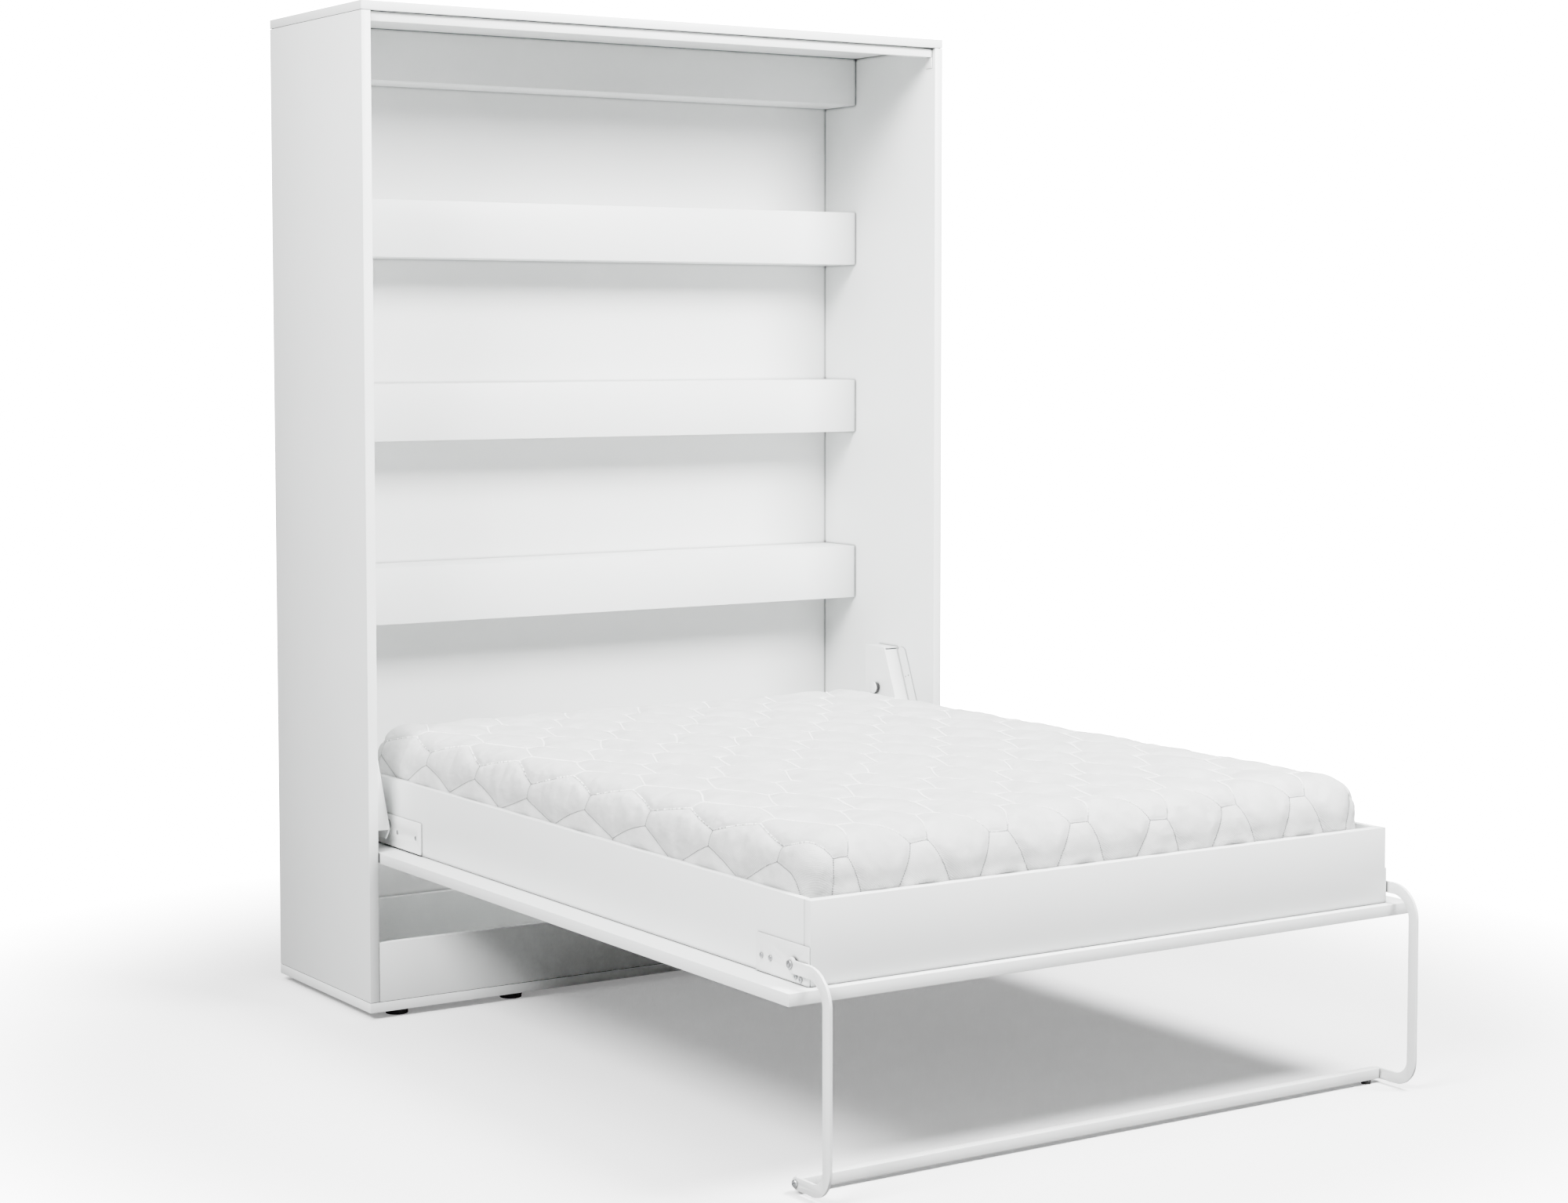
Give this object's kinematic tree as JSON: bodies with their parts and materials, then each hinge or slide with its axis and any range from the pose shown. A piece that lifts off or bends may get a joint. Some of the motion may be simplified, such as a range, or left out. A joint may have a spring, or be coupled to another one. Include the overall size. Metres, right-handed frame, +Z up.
{
  "type": "murphy wall bed",
  "caption": "Vertical wall bed: a cabinet with cross rails and a mattress bed frame that folds down from it on gas-strut pivots and stands on a folding leg frame.",
  "frame": {"origin": "bottom centre of the whole object's box with the bed open, on the floor", "axes": "+Z up, +Y from the foot of the bed towards the wall, +X to the right when facing the cabinet"},
  "size_m": [1.61, 2.284, 2.315],
  "materials": {
    "white_board": "satin white melamine on board",
    "timber": "plain softwood",
    "white_steel": "satin white powder coat",
    "zinc_steel": "zinc plated",
    "polished_steel": "polished rod",
    "black_steel": "satin black",
    "black_plastic": "moulded, matt",
    "white_plastic": "moulded, matt",
    "rubber": "matt",
    "mattress_cover": "quilted white knit"
  },
  "bodies": {
    "cabinet": {"side_panel_left": "white_board", "side_panel_right": "white_board", "top_panel": "white_board", "bottom_panel": "white_board", "back_panel": "white_board", "plinth_fascia": "white_board", "rear_plinth_rail": "white_board", "top_rail_face": "white_board", "upper_rail_face": "white_board", "middle_rail_face": "white_board", "lower_rail_face": "white_board", "rail_top_boards": "white_board", "rail_base_boards": "white_board", "wall_fixing_batten": "timber", "stop_strip": "white_board", "catch_plates": "white_plastic", "cabinet_feet": "black_plastic", "foot_screws": "zinc_steel", "cabinet_connectors": "zinc_steel", "pivot_bracket_left": "white_steel", "pivot_bracket_right": "white_steel", "bracket_screws": "zinc_steel", "pivot_pin_left": "zinc_steel", "pivot_pin_right": "zinc_steel", "strut_studs_upper": "zinc_steel"},
    "bed": {"front_board": "white_board", "side_rail_left": "white_board", "side_rail_right": "white_board", "footboard": "white_board", "head_rail": "white_board", "slat_ledge_left": "timber", "slat_ledge_right": "timber", "centre_beam": "timber", "bed_slats": "timber", "slat_holders": "black_plastic", "mattress": "mattress_cover", "hinge_plate_left": "white_steel", "hinge_plate_right": "white_steel", "hinge_plate_screws": "zinc_steel", "pivot_bushes": "black_plastic", "strut_studs_lower": "zinc_steel", "leg_plate_left": "white_steel", "leg_plate_right": "white_steel", "leg_plate_screws": "zinc_steel", "leg_pivot_bolts": "zinc_steel"},
    "leg": {"leg_arm_left": "white_steel", "leg_arm_right": "white_steel", "leg_bushes": "black_plastic", "leg_crossbar": "white_steel", "crossbar_plugs": "black_plastic", "crossbar_bolts": "zinc_steel", "leg_feet": "rubber"},
    "barrel_left": {"strut_barrel_left": "black_steel"},
    "barrel_right": {"strut_barrel_right": "black_steel"},
    "rod_left": {"strut_rod_left": "polished_steel", "strut_end_left": "zinc_steel"},
    "rod_right": {"strut_rod_right": "polished_steel", "strut_end_right": "zinc_steel"}
  },
  "joints": [
    {"name": "bed_fold", "type": "hinge", "parent": "cabinet", "child": "bed", "pos_m": [0, 0.702, 0.434], "axis": [-1, 0, 0], "range_deg": [0, 90]},
    {"name": "leg_fold", "type": "hinge", "parent": "bed", "child": "leg", "pos_m": [0, -1.012, 0.421], "axis": [-1, 0, 0], "range_deg": [0, 200]},
    {"name": "strut_swing_left", "type": "hinge", "parent": "cabinet", "child": "barrel_left", "pos_m": [-0.73, 0.818, 0.646], "axis": [-1, 0, 0], "range_deg": [0, 45]},
    {"name": "strut_slide_left", "type": "slide", "parent": "barrel_left", "child": "rod_left", "axis": [0, 0.4591, -0.8884], "range_m": [0, 0.2045]},
    {"name": "strut_swing_right", "type": "hinge", "parent": "cabinet", "child": "barrel_right", "pos_m": [0.73, 0.818, 0.646], "axis": [-1, 0, 0], "range_deg": [0, 45]},
    {"name": "strut_slide_right", "type": "slide", "parent": "barrel_right", "child": "rod_right", "axis": [0, 0.4591, -0.8884], "range_m": [0, 0.2045]}
  ],
  "couplings": [
    {"joint": "leg_fold", "follows": "bed_fold", "ratio": 2.2222},
    {"joint": "strut_swing_left", "follows": "bed_fold", "ratio": 0.5},
    {"joint": "strut_slide_left", "follows": "bed_fold", "m_per_rad": 0.13004},
    {"joint": "strut_swing_right", "follows": "bed_fold", "ratio": 0.5},
    {"joint": "strut_slide_right", "follows": "bed_fold", "m_per_rad": 0.13004}
  ]
}
